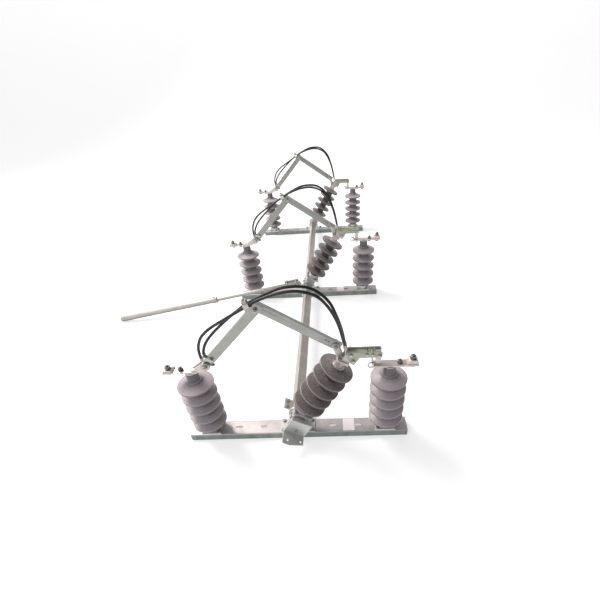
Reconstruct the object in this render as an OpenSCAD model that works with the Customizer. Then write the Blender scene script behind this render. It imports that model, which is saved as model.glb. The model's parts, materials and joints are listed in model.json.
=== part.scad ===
// Rocking-post disconnect switch: three phases on channel bases, one square shaft and one lever.
// In each phase the middle post rocks on the shaft, carries the contact blades and folds two arms.
// Frame: the origin is the centre of the middle channel's slots, on the web's top face.
// +X runs along the channels to the contact posts, +Y along the shaft, +Z up. The switch is closed.

/* [Layout] */
// Distance from one phase to the next
phase_pitch = 1240; // [1100:10:1400]
// Distance of each end post from the shaft
post_x = 400; // [396:1:404]
// Lean of the rocking posts when closed, in degrees
rocker_tilt = 31.5; // [31:0.1:32]

/* [Base channel] */
// Length of each channel
channel_l = 1000; // [960:10:1100]
// Width of the channel's web
channel_w = 80; // [76:1:100]
// Height of the channel's flanges
channel_h = 35; // [30:1:50]
// Thickness of the channel
channel_t = 4; // [3:0.5:6]
// Length of each mounting slot
slot_l = 30; // [20:1:40]
// Width of each mounting slot
slot_w = 14; // [10:1:18]

/* [Insulators] */
// Radius of each shed
shed_r = 75; // [60:1:80]
// Distance from one shed to the next
shed_gap = 58.5; // [56:0.5:60]
// Number of sheds on a post
shed_count = 5; // [5:1:5]
// Thickness of a shed at its rim
shed_edge = 11; // [6:1:14]
// Radius of the insulator's core
core_r = 34; // [28:1:40]

/* [Shaft and lever] */
// Height of the shaft's axis above the channel
shaft_z = 54; // [54:1:60]
// Outside width of the square shaft
shaft_w = 45; // [40:1:46]
// Wall of the square shaft
shaft_wall = 3; // [2:0.5:5]
// Radius of the lever's rod
lever_rod_r = 13; // [10:1:15]
// Radius of the lever's pipe
lever_pipe_r = 19; // [17:1:20]

/* [Arms and contacts] */
// Depth of each arm
arm_depth = 36; // [30:1:40]
// Width of each arm
arm_w = 16; // [12:1:16]
// Width of the terminal bars
bar_w = 36; // [30:1:40]
// Thickness of the terminal bars
bar_t = 8; // [6:1:10]
// Diameter of each jumper cable
cable_d = 11; // [9:1:16]

/* [Hidden] */
phases = ["front", "middle", "back"];
phase_parts = [
    "channel", "insulator_left", "insulator_right", "terminal_left", "terminal_right", "bearing",
    "rocker_foot", "rocker_insulator", "rocker_head", "contact_blades",
    "arm_left", "arm_right", "cable_left", "cable_right"
];
single_parts = ["post_feet", "shaft", "shaft_plates", "lever_bracket", "lever_rod", "lever_pipe"];

$fn = 96;

// Pivots of one phase's linkage, in X and Z
arm_foot = [-328, 404];   // left arm on the left terminal: the open pivot
elbow = [-86, 656];       // left arm on right arm
arm_head = [188, 467];    // right arm on the rocking post's head

pin_r = 6;
pin_fit = 0.05;           // running clearance of a pin in its bore
open_pivot_play = 7;      // extra radius in the ears of the open pivot
ear_t = 6;
ear_r = 20;
head_ear_r = 14;
ear_gap = 1;
arm_left_y = -arm_w / 2;          // front face of the left arm
arm_right_y = arm_w / 2 + 2;      // front face of the right arm
arm_wall = 3;

foot_plate = [90, 76, 8];
foot_ring_r = 30;
foot_h = 34;              // underside of an end post's insulator
first_shed_z = 66;
neck_r = 25;
neck_top = 368;
bar_z = 371;              // underside of the terminal bars
bar_end = 510;
bar_holes = [438, 488];
bar_hole_r = 7;

rocker_first_shed = 126;  // distances along the rocking post, from the shaft's axis
rocker_post_low = 92;
rocker_post_top = 376;
rocker_cap_r = 21;
rocker_cap_top = 403;
saddle_t = 10;

bearing_ear_y = 28;       // inner face of each bearing ear
bearing_ear_t = 8;
bearing_ear_r = 41;
bush_r = 34;
bush_fit = 0.05;
bush_reach = 40;
clamp_gap = 0.05;         // between the square shaft and what is clamped on it
shaft_front = 60;         // how far the shaft runs past the outer phases
shaft_back = 75;

blade_y = 13;             // inner face of each contact blade
blade_t = 5;
blade_low = 425;
blade_top = 453;
blade_root = 232;
blade_tip = 365;
finger_x = 342;
finger_w = 20;
finger_t = 15;
finger_top = 445;

slot_pairs = [160, 277];  // distance of each pair of slots from the shaft

// The lever leans on its bracket behind the front phase and reaches down to the floor's level
lever_near = [-104, -120, 123];
lever_far = [-1313, -265, -15];
lever_axis = lever_far - lever_near;
lever_len = norm(lever_axis);
lever_joint = 547;        // where the rod enters the pipe
lever_wall = 3;

// Centre lines of one phase's jumpers, in X and Z, the near one first: from the left arm's foot over
// the elbow to the top of their arch, and on from there to the blades
cable_y = [-9, 9];
routes_left = [
    [
        [-333, 430], [-334, 470], [-323, 516], [-292, 564], [-243, 597], [-189, 629],
        [-126, 665], [-98, 681], [-60, 699], [0, 718]
    ],
    [
        [-327, 437], [-325, 462], [-308, 500], [-276, 540], [-230, 583], [-181, 624],
        [-126, 665], [-98, 681], [-58, 701], [0, 725]
    ]
];
routes_right = [
    [[0, 718], [54, 724], [89, 719], [124, 705], [152, 680], [181, 632], [204, 569], [226, 466]],
    [[0, 725], [53, 732], [101, 726], [141, 702], [176, 658], [199, 596], [214, 539], [226, 466]]
];
cable_sides = 8;

function unit(v) = v / norm(v);
function turn_left(v) = [-v[1], v[0]];
// From distances across and along the rocking post to X and Z
function from_tilted(across, along) = [
    across * cos(rocker_tilt) + along * sin(rocker_tilt),
    shaft_z - across * sin(rocker_tilt) + along * cos(rocker_tilt)
];

module at_phase(i) translate([0, (i - 1) * phase_pitch, 0]) children();

// Children are drawn with Z along the rocking post and the origin on the shaft's axis
module tilted() translate([0, 0, shaft_z]) rotate([0, rocker_tilt, 0]) children();

// A flat outline in X and Z becomes a plate from y0 to y0 + thickness
module plate(y0, thickness)
    translate([0, y0 + thickness, 0]) rotate([90, 0, 0]) linear_extrude(thickness) children();

// A round pin or bore along Y
module along_y(place, r, y0, y1)
    translate([place[0], y0, place[1]]) rotate([-90, 0, 0]) cylinder(r = r, h = y1 - y0);

// A tapering strap outline from the line between two base points to a round eye
module strap_outline(base_a, base_b, eye, r) {
    side = unit(turn_left(eye - (base_a + base_b) / 2)) * (r - 1.5);
    polygon([base_a, base_b, eye - side, eye + side]);
    translate(eye) circle(r = r);
}

// ---- Base ----

module channel() color("gainsboro") difference() {
    translate([-channel_l / 2, -channel_w / 2, -channel_h]) cube([channel_l, channel_w, channel_h]);
    translate([-channel_l / 2 - 1, -channel_w / 2 + channel_t, -channel_h - 1])
        cube([channel_l + 2, channel_w - 2 * channel_t, channel_h + 1 - channel_t]);
    for (x = slot_pairs, side = [-1, 1]) translate([side * x, 0, -channel_t - 1]) slot();
}

module slot() {
    reach = (slot_l - slot_w) / 2;
    for (side = [-1, 1]) translate([side * reach, 0, 0]) cylinder(d = slot_w, h = channel_t + 2);
    translate([-reach, -slot_w / 2, 0]) cube([2 * reach, slot_w, channel_t + 2]);
}

module post_foot() color("silver") {
    translate([-foot_plate[0] / 2, -foot_plate[1] / 2, 0]) cube(foot_plate);
    cylinder(r = foot_ring_r, h = foot_h);
}

module post_feet() for (i = [0:2], side = [-1, 1]) at_phase(i) translate([side * post_x, 0, 0]) post_foot();

// Half outline of one shed, from the core under it to the core above it
function shed(z) = [
    [core_r, z - 3],
    [shed_r - 2, z - shed_edge / 2],
    [shed_r, z - shed_edge / 2 + 2],
    [shed_r, z + shed_edge / 2 - 2],
    [shed_r - 2, z + shed_edge / 2],
    [core_r + 4, z + 13],
    [core_r, z + 17]
];

module insulator(low, first, top) color("rosybrown") {
    last = first + (shed_count - 1) * shed_gap;
    rotate_extrude() polygon(concat(
        [[0, low], [core_r, low]],
        [for (i = [0:shed_count - 1]) each shed(first + i * shed_gap)],
        [[neck_r, last + 19], [neck_r, top], [0, top]]
    ));
}

module insulator_left() translate([-post_x, 0, 0]) insulator(foot_h, first_shed_z, neck_top);

module insulator_right() translate([post_x, 0, 0]) insulator(foot_h, first_shed_z, neck_top);

module terminal_bar(inner) difference() {
    translate([inner, -bar_w / 2, bar_z]) cube([bar_end - inner, bar_w, bar_t]);
    for (x = bar_holes) translate([x, 0, bar_z - 1]) cylinder(r = bar_hole_r, h = bar_t + 2);
}

module terminal_left() color("gainsboro") {
    translate([-post_x, 0, neck_top]) cylinder(r = neck_r - 1, h = bar_z - neck_top);
    mirror([1, 0, 0]) terminal_bar(370);
    for (y0 = [-arm_w / 2 - ear_gap - ear_t, arm_w / 2 + ear_gap]) difference() {
        plate(y0, ear_t) strap_outline([-404, bar_z + 1], [-371, bar_z + 1], arm_foot, ear_r);
        along_y(arm_foot, pin_r + open_pivot_play, y0 - 1, y0 + ear_t + 1);
    }
}

module terminal_right() color("gainsboro") {
    lip = 6;
    translate([post_x, 0, neck_top]) cylinder(r = neck_r - 1, h = bar_z - neck_top);
    terminal_bar(328);
    translate([328, -bar_w / 2, bar_z]) cube([lip, bar_w, bar_t + 14]);
    translate([finger_x, -finger_t / 2, bar_z + 1]) cube([finger_w, finger_t, finger_top - bar_z - 1]);
}

module bearing() color("silver") {
    plate_t = 6;
    half = 80;
    translate([-half, -channel_w / 2 + 2, 0]) cube([2 * half, channel_w - 4, plate_t]);
    for (y0 = [-bearing_ear_y - bearing_ear_t, bearing_ear_y]) difference() {
        plate(y0, bearing_ear_t) {
            translate([-bearing_ear_r, plate_t - 1]) square([2 * bearing_ear_r, shaft_z - plate_t + 1]);
            translate([0, shaft_z]) circle(r = bearing_ear_r);
        }
        along_y([0, shaft_z], bush_r + bush_fit, y0 - 1, y0 + bearing_ear_t + 1);
    }
}

// ---- Rocker: the shaft and all that turns with it ----

module square_bar(width, y0, y1) translate([-width / 2, y0, -width / 2]) cube([width, y1 - y0, width]);

module shaft() color("silver") tilted() {
    front = -phase_pitch - shaft_front;
    back = phase_pitch + shaft_back;
    difference() {
        square_bar(shaft_w, front, back);
        square_bar(shaft_w - 2 * shaft_wall, front - 1, back + 1);
    }
}

module rocker_foot() color("slategray") tilted() {
    plate_z = 60;
    half = 32;
    difference() {
        union() {
            translate([-half, -24, -28]) cube([2 * half, 48, plate_z + 28]);
            rotate([-90, 0, 0]) translate([0, 0, -bush_reach]) cylinder(r = bush_r, h = 2 * bush_reach);
        }
        square_bar(shaft_w + 2 * clamp_gap, -bush_reach - 1, bush_reach + 1);
    }
    translate([-45, -38, plate_z]) cube([90, 76, 8]);
    translate([0, 0, plate_z]) cylinder(r = foot_ring_r, h = rocker_post_low - plate_z);
}

module rocker_insulator() tilted() insulator(rocker_post_low, rocker_first_shed, rocker_post_top);

module rocker_head() color("mistyrose") {
    front_ear = arm_right_y - ear_gap - ear_t;
    back_ear = arm_right_y + arm_w + ear_gap;
    tilted() {
        translate([0, 0, rocker_post_top]) cylinder(r = rocker_cap_r, h = rocker_cap_top - rocker_post_top);
        translate([-24, -20, rocker_cap_top]) cube([50, 22 + back_ear + ear_t, saddle_t]);
    }
    for (y0 = [front_ear, back_ear]) plate(y0, ear_t) strap_outline(
        from_tilted(-20, rocker_cap_top + 3), from_tilted(8, rocker_cap_top + 3), arm_head, head_ear_r);
    along_y(arm_head, pin_r, front_ear - 4, back_ear + ear_t + 4);
    // Block that the blades are bolted to
    plate(-blade_y, 2 * blade_y) polygon([
        from_tilted(-4, rocker_cap_top + 3), from_tilted(20, rocker_cap_top + 3),
        [256, 402], [256, 440], [228, 440]
    ]);
}

module contact_blades() color("darkseagreen") {
    spacers = [[307, 440], [328, 440]];
    for (y0 = [-blade_y - blade_t, blade_y]) plate(y0, blade_t) polygon([
        [blade_root, blade_top], [blade_root, blade_low], [240, 402], [256, 388], [279, blade_low],
        [blade_tip, blade_low], [blade_tip, blade_top - 6], [blade_tip - 6, blade_top]
    ]);
    for (place = spacers) along_y(place, 5, -blade_y - 1, blade_y + 1);
}

// Bracket that closes the shaft's front end, and a lug on the shaft behind the front phase
module shaft_plates() color("silver") at_phase(0) tilted() {
    t = 6;
    left = -47;
    right = 52;
    low = -36;
    high = 55;
    front = -shaft_front - t;
    lug = [40, 60, t];
    translate([left, front, low]) cube([right - left, t, high - low]);
    translate([left, front, high - t]) cube([right - left, t + 12, t]);
    difference() {
        translate([0, 0, low]) linear_extrude(t) polygon([
            [left, front + 1], [left, front - 60], [left + 34, front - 62],
            [right, front - 42], [right, front + 1]
        ]);
        for (hole = [[-24, -106], [38, -96]])
            translate([hole[0], hole[1], low - 1]) cylinder(r = 5, h = t + 2);
    }
    difference() {
        translate([-shaft_w / 2 - lug[0], 52, -shaft_w / 2]) cube(lug);
        for (y = [66, 98]) translate([-shaft_w / 2 - 24, y, -shaft_w / 2 - 1]) cylinder(r = 5, h = t + 2);
    }
}

module along_lever() translate(lever_near)
    rotate([0, -asin(lever_axis[2] / lever_len), atan2(lever_axis[1], lever_axis[0])]) children();

module lever_tube(r, wall, from, to) translate([from, 0, 0]) rotate([0, 90, 0]) difference() {
    cylinder(r = r, h = to - from);
    translate([0, 0, -1]) cylinder(r = r - wall, h = to - from + 2);
}

module lever_bracket() color("silver") {
    half = 30;
    tilted() difference() {
        union() {
            translate([-half, lever_near[1] - 30, -half]) cube([2 * half, 60, 2 * half]);
            translate([-138, lever_near[1] + lever_rod_r + 8, -22]) cube([138 - half + 1, 8, 48]);
        }
        square_bar(shaft_w + 2 * clamp_gap, lever_near[1] - 31, lever_near[1] + 31);
    }
    along_lever() translate([-50, -lever_rod_r - 6, -24]) cube([100, 6, 48]);
}

module lever_rod() color("whitesmoke")
    along_lever() lever_tube(lever_rod_r, lever_wall, -62, lever_joint + 60);

module lever_pipe() color("lightgray") along_lever() {
    collar = 30;
    collar_wall = lever_pipe_r + 2 - lever_rod_r - pin_fit;
    lever_tube(lever_pipe_r + 2, collar_wall, lever_joint - 12, lever_joint + collar);
    lever_tube(lever_pipe_r, lever_wall, lever_joint + collar - 1, lever_len);
}

// ---- Arms ----

// Children are drawn with X from one pivot towards the other and Z across the arm
module along_arm(from, to) {
    d = to - from;
    translate([from[0], 0, from[1]]) rotate([0, -atan2(d[1], d[0]), 0]) children();
}

module box_bar(x0, x1, y0, depth, wall) difference() {
    translate([x0, y0, -depth / 2]) cube([x1 - x0, arm_w, depth]);
    translate([x0 - 1, y0 + wall, wall - depth / 2]) cube([x1 - x0 + 2, arm_w - 2 * wall, depth - 2 * wall]);
}

module arm_left() color("lightgray") {
    length = norm(elbow - arm_foot);
    pad = [length - 20, length + 8];   // where the clamp's block starts and ends, and its top there
    pad_top = [28.8, 20.9];
    along_arm(arm_foot, elbow) {
        translate([0, arm_left_y, -14]) cube([34, arm_w, 28]);
        box_bar(28, length + 22, arm_left_y, arm_depth, arm_wall);
        // Block of the jumpers' clamp, its top as steep as the jumpers on it
        plate(-18, 23) polygon([
            [pad[0], arm_depth / 2 - 1], [pad[1], arm_depth / 2 - 1],
            [pad[1], pad_top[1]], [pad[0], pad_top[0]]
        ]);
    }
    along_y(arm_foot, 17, arm_left_y, -arm_left_y);
    along_y(arm_foot, pin_r, -arm_w / 2 - 12, arm_w / 2 + 12);
    along_y(elbow, pin_r + 4, arm_left_y, -arm_left_y);
    along_y(elbow, pin_r, -arm_w / 2 - 6, arm_right_y + arm_w + 6);
}

module arm_right() color("lightgray") difference() {
    union() {
        along_arm(elbow, arm_head)
            box_bar(-12, norm(arm_head - elbow) + 20, arm_right_y, arm_depth, arm_wall);
        for (place = [elbow, arm_head]) along_y(place, pin_r + 5, arm_right_y, arm_right_y + arm_w);
    }
    for (place = [elbow, arm_head]) along_y(place, pin_r + pin_fit, arm_right_y - 1, arm_right_y + arm_w + 1);
}

// ---- Jumpers ----

// A round tube along points in X and Z, at one distance in Y. Its ends are square to the given directions.
module tube_along(route, y, start, end) {
    last = len(route) - 1;
    points = [for (i = [0:last])
        let (t = i == 0 ? start : i == last ? end : unit(route[i + 1] - route[i - 1]), n = turn_left(t))
        for (k = [0:cable_sides - 1])
            let (a = 360 * k / cable_sides, out = cable_d / 2 * cos(a))
            [route[i][0] + n[0] * out, y + cable_d / 2 * sin(a), route[i][1] + n[1] * out]];
    sides = [for (i = [0:last - 1]) for (k = [0:cable_sides - 1])
        let (m = (k + 1) % cable_sides, a = i * cable_sides)
        [a + k, a + m, a + cable_sides + m, a + cable_sides + k]];
    first_end = [for (k = [0:cable_sides - 1]) cable_sides - 1 - k];
    last_end = [for (k = [0:cable_sides - 1]) last * cable_sides + k];
    polyhedron(points, concat(sides, [first_end, last_end]));
}

// Direction of a jumper where its two halves meet
function arch_top(i) = unit(routes_right[i][1] - routes_left[i][8]);

module cable_left() color("black") for (i = [0, 1])
    tube_along(routes_left[i], cable_y[i], unit(routes_left[i][1] - routes_left[i][0]), arch_top(i));

module cable_right() color("black") for (i = [0, 1])
    tube_along(routes_right[i], cable_y[i], arch_top(i), unit(routes_right[i][7] - routes_right[i][6]));

// ---- What is drawn ----

for (i = [0:2]) {
    at_phase(i) channel();
    at_phase(i) insulator_left();
    at_phase(i) insulator_right();
    at_phase(i) terminal_left();
    at_phase(i) terminal_right();
    at_phase(i) bearing();
    at_phase(i) rocker_foot();
    at_phase(i) rocker_insulator();
    at_phase(i) rocker_head();
    at_phase(i) contact_blades();
    at_phase(i) arm_left();
    at_phase(i) arm_right();
    at_phase(i) cable_left();
    at_phase(i) cable_right();
}
post_feet();
shaft();
shaft_plates();
lever_bracket();
lever_rod();
lever_pipe();
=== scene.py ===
"""Looks of a rocking-post disconnect switch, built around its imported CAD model."""

import json
import math

import bmesh
import bpy
from bpy.props import FloatProperty, FloatVectorProperty, IntProperty, PointerProperty
from mathutils import Matrix, Vector

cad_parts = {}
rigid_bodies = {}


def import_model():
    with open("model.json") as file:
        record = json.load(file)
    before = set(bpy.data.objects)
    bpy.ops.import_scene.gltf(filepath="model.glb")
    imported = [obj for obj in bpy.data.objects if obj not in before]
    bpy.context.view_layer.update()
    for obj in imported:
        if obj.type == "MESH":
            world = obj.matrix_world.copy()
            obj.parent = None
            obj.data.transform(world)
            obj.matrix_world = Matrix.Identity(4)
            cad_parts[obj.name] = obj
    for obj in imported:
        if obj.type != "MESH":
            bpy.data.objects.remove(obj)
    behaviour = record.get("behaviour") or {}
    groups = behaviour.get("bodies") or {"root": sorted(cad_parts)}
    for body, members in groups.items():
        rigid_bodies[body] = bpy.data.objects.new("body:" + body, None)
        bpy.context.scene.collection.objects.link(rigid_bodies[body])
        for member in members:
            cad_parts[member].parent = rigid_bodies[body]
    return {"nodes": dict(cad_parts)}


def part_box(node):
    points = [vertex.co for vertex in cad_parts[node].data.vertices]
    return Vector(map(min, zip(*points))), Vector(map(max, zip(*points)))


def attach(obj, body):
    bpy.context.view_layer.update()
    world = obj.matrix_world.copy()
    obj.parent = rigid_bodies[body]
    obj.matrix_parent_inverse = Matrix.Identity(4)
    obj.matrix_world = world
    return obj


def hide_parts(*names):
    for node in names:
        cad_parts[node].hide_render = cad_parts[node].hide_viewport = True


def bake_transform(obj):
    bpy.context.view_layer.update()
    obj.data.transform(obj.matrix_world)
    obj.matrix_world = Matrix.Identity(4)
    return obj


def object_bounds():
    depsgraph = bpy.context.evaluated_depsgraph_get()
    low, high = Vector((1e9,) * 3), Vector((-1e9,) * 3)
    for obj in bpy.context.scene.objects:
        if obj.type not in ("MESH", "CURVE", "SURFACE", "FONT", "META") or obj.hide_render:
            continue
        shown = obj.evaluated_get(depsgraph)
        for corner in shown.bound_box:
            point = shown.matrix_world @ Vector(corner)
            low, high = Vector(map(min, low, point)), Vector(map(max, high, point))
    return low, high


bl_info = {
    "name": "Rocking-post disconnect switch",
    "version": (1, 0, 0),
    "blender": (4, 5, 0),
    "location": "View3D > Sidebar > Switch",
    "description": "Finishes, fasteners, sheds and jumpers of a disconnect switch",
    "category": "Object",
}

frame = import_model()
CAD_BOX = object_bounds()
MM = 0.001


def middle(node):
    """Centre of a CAD node's box."""
    low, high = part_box(node)
    return (low + high) / 2


PHASES = {name: middle(f"channel_{name}").y for name in ("front", "middle", "back")}
SIDES = (-1, 1)

# Layout of one phase in mm, as in the part's own source
POST_X = 400
TILT = math.radians(31.5)
SHAFT_Z = 54
SLOT_PAIRS = (160, 277)
ARM_FOOT = (-328, 404)
ELBOW = (-86, 656)
ARM_HEAD = (188, 467)
ARM_DEPTH = 36
ARM_BACK_Y = (-8, 26)
BAR_TOP = 379
BAR_BOTTOM = 371
BAR_HOLES = (438, 488)
BLADE_FACE_Y = 18
LEVER_NEAR = Vector((-104, -120, 123))
LEVER_FAR = Vector((-1313, -265, -15))
LEVER_JOINT = 547
LEVER_ROD_R = 13

# Centre lines of the jumpers in X and Z, the near one first: from the left arm's foot to the top of
# the arch, and on to the blades
JUMPER_Y = 9
CLAMPED = [(-126, 665), (-98, 681)]
ROUTES_LEFT = (
    [(-333, 430), (-334, 468), (-327, 506), (-305, 548), (-262, 586), (-189, 629)]
    + [*CLAMPED, (-60, 699), (0, 718)],
    [(-327, 437), (-325, 462), (-308, 500), (-276, 540), (-230, 583), (-181, 624)]
    + [*CLAMPED, (-58, 701), (0, 725)],
)
ROUTES_RIGHT = (
    [(0, 718), (54, 724), (89, 719), (124, 705), (152, 680), (181, 632), (204, 569), (226, 466)],
    [(0, 725), (53, 732), (101, 726), (141, 702), (176, 658), (199, 596), (214, 539), (226, 466)],
)

# Insulators in mm: the top of a bay above its shed, how far a shed rises to the core, the core's share
# of the fixed posts' radius, where the rubber starts, and the first shed
BAY_TOP = {"fixed": 25, "rocking": 14}
SHED_RISE = {"fixed": 17, "rocking": 7.5}
CORE_SHARE = {"fixed": 1.0, "rocking": 0.88}
POST_LOW = {"fixed": 34, "rocking": 92}
FIRST_SHED = {"fixed": 66, "rocking": 126}
POST_TOP = 368
FERRULE = (362, 380)
TURNED_SIDES = 80
# A painted highlight band on a shed's rim, in mm from its edge and in height, and the painted shade towards
# the core
RIM_DEPTH = 2.4
RIM_BAND = (2.5, 5.3)
SHADE_SLOPE = 2.4
SHADE_START = 1.3
CORE_SHADE = 0.9

# Terminal saddles, by side, and the ring on the right-hand one, in mm
SADDLE_TOP = {-1: 9, 1: 20}
RING_CENTRE = (324, -12, 383)
RING_R = 12
RING_WIRE_R = 2.4

# The jumpers' right-hand lugs, the clamp in the left arm's frame and the left-hand lugs' bolt, in mm
PALM = [(222.5, 463), (227.5, 463), (227.6, 440.6), (212.2, 410.4), (207.8, 412.7), (222.8, 442)]
PALM_NORMAL = (-0.891, 0, 0.455)
CLAMP_SPOT = (343.6, 0, 30.5)
CLAMP_SLOPE = math.radians(16.4)
LUG_BOLT = (44, 0)

# Blank label plates, the gap between the blades and the tubes' walls, in mm
LABEL_X = 234.5
LABEL_SIZE = (53, 68)
BLADE_GAP = (16.5, 17.5)
TUBE_WALL = 2.4


def srgb(code):
    """A hex colour as linear red, green, blue and alpha."""
    channels = [int(code[i : i + 2], 16) / 255 for i in (1, 3, 5)]
    return [c / 12.92 if c <= 0.04045 else ((c + 0.055) / 1.055) ** 2.4 for c in channels] + [1.0]


def length_prop(name, description, default):
    """A size in metres, given here in mm."""
    return FloatProperty(name=name, description=description, default=default * MM, unit="LENGTH", precision=4)


def colour_prop(name, description, code):
    """A colour that a user can change."""
    return FloatVectorProperty(
        name=name, description=description, default=srgb(code), subtype="COLOR", size=4, min=0, max=1
    )


class SwitchSizes(bpy.types.PropertyGroup):
    """Sizes of the pieces that the CAD model leaves to the looks."""

    shed_radius: length_prop("Shed radius", "Radius of an insulator's shed", 75)
    shed_gap: length_prop("Shed gap", "Distance from one shed to the next", 58.5)
    shed_count: IntProperty(name="Sheds", description="Number of sheds on a post", default=5, min=1, max=9)
    core_radius: length_prop("Core radius", "Radius of the insulator between its sheds", 34)
    neck_radius: length_prop("Neck radius", "Radius of the insulator's neck", 25)
    jumper: length_prop("Jumper", "Diameter of a jumper cable", 11)
    channel_bend: length_prop("Channel bend", "Outside radius of the channel's bends", 6)
    edge: length_prop("Edge", "Rounding of the metal parts' edges", 0.9)
    ubolt_wire: length_prop("U-bolt wire", "Diameter of a U-bolt", 8)


class SwitchColours(bpy.types.PropertyGroup):
    """Colours of the finishes."""

    zinc: colour_prop("Zinc", "Fresh hot-dip zinc", "#c3bebd")
    # Painted reflection and shade: the darker green-grey of the flanges
    zinc_flange: colour_prop("Zinc on flanges", "Passivated zinc on the channel's flanges", "#69756f")
    fittings: colour_prop("Fittings", "Zinc on plates and clamps", "#cbccc8")
    shaft: colour_prop("Shaft", "Zinc on the square shaft", "#b5aea9")
    lever: colour_prop("Lever", "Zinc on the lever", "#c3c1bb")
    arm: colour_prop("Arm", "Drawn aluminium of the arms", "#9fa19c")
    sheds: colour_prop("Sheds", "Silicone rubber of the fixed posts", "#b3a8ac")
    rocker_sheds: colour_prop("Rocker sheds", "Silicone rubber of the rocking posts", "#645b59")
    casting: colour_prop("Casting", "Galvanised casting of the rocker's foot", "#c6c2c4")
    cap: colour_prop("Cap", "Sand-cast aluminium of the heads", "#d3c9c5")
    terminal: colour_prop("Terminal", "Tin on the terminal bars", "#d2cac5")
    blades: colour_prop("Blades", "Clear passivated zinc on the blades", "#a2a696")
    # Partly painted light: paler than the real passivation, to lift the shade between the blades
    blades_inside: colour_prop("Blades inside", "Yellow-green passivation between the blades", "#d6d8bd")
    jacket: colour_prop("Jacket", "Rubber jacket of the jumpers", "#0d0d0e")
    bolts: colour_prop("Bolts", "Zinc-plated bolts", "#b9b8b4")
    nuts: colour_prop("Nuts", "Weathered terminal nuts", "#82827f")
    plate: colour_prop("Plate", "Blank label plate", "#fdf5f7")
    floor: colour_prop("Floor", "Floor of the studio", "#dcdcdc")


def sizes():
    """The add-on's sizes."""
    return bpy.context.scene.switch_sizes


def colours():
    """The add-on's colours."""
    return bpy.context.scene.switch_colours


# ---- Nodes ----


def add_node(tree, kind, inputs=None, **settings):
    """One node. settings are its own, and each input is a value or the socket that feeds it."""
    node = tree.nodes.new(kind)
    for name, value in settings.items():
        setattr(node, name, value)
    for name, value in (inputs or {}).items():
        if isinstance(value, bpy.types.NodeSocket):
            tree.links.new(value, node.inputs[name])
        else:
            node.inputs[name].default_value = value
    return node


def new_material(name):
    """An empty material: its tree, and a function that closes it with a Principled shader's inputs."""
    material = bpy.data.materials.new(name)
    material.use_nodes = True
    tree = material.node_tree
    tree.nodes.clear()

    def close(inputs):
        shader = add_node(tree, "ShaderNodeBsdfPrincipled", inputs)
        add_node(tree, "ShaderNodeOutputMaterial", {"Surface": shader.outputs[0]})
        return material

    return tree, close


def place(tree, scale=(1, 1, 1)):
    """Object coordinates in metres, stretched by scale."""
    here = add_node(tree, "ShaderNodeTexCoord").outputs["Object"]
    return add_node(tree, "ShaderNodeMapping", {"Vector": here, "Scale": scale}).outputs[0]


def noise(tree, size_mm, detail=3, stretch=(1, 1, 1), rough=0.5):
    """Noise whose features are size_mm across, stretched along an axis where its factor is under 1."""
    inputs = {"Vector": place(tree, stretch), "Scale": 1 / (size_mm * MM)}
    inputs |= {"Detail": detail, "Roughness": rough}
    return add_node(tree, "ShaderNodeTexNoise", inputs).outputs["Fac"]


def levels(tree, value, low, high, to_low=0.0, to_high=1.0):
    """value from low..high to to_low..to_high."""
    inputs = {"Value": value, "From Min": low, "From Max": high, "To Min": to_low, "To Max": to_high}
    return add_node(tree, "ShaderNodeMapRange", inputs).outputs[0]


def mix(tree, factor, a, b):
    """Colour a turning into b."""
    inputs = {"Factor": factor, 6: a, 7: b}
    return add_node(tree, "ShaderNodeMix", inputs, data_type="RGBA").outputs[2]


def shade(colour, factor):
    """A colour made lighter or darker."""
    return [min(1.0, c * factor) for c in colour[:3]] + [1.0]


def clouded(tree, colour, patches, dark, pale, low=0.35):
    """A colour that shifts from dark to pale times itself in soft patches."""
    return mix(tree, levels(tree, patches, low, 0.7), shade(colour, dark), shade(colour, pale))


def times(tree, a, b):
    """The product of two values."""
    return add_node(tree, "ShaderNodeMath", {0: a, 1: b}, operation="MULTIPLY").outputs[0]


def part_of(tree, vector, axis):
    """A vector's part along an axis, where 0 is X."""
    return add_node(tree, "ShaderNodeSeparateXYZ", {"Vector": vector}).outputs[axis]


def facing_up(tree):
    """How far the surface faces up, from -1 to 1."""
    return part_of(tree, add_node(tree, "ShaderNodeNewGeometry").outputs["Normal"], 2)


def marked(tree, name):
    """A number that the mesh keeps for each of its points."""
    return add_node(tree, "ShaderNodeAttribute", attribute_name=name).outputs["Fac"]


def bump(tree, height, depth_mm):
    """A normal from a height of 0 to 1 that stands for depth_mm."""
    inputs = {"Height": height, "Distance": depth_mm * MM}
    return add_node(tree, "ShaderNodeBump", inputs).outputs[0]


# ---- Materials ----


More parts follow.
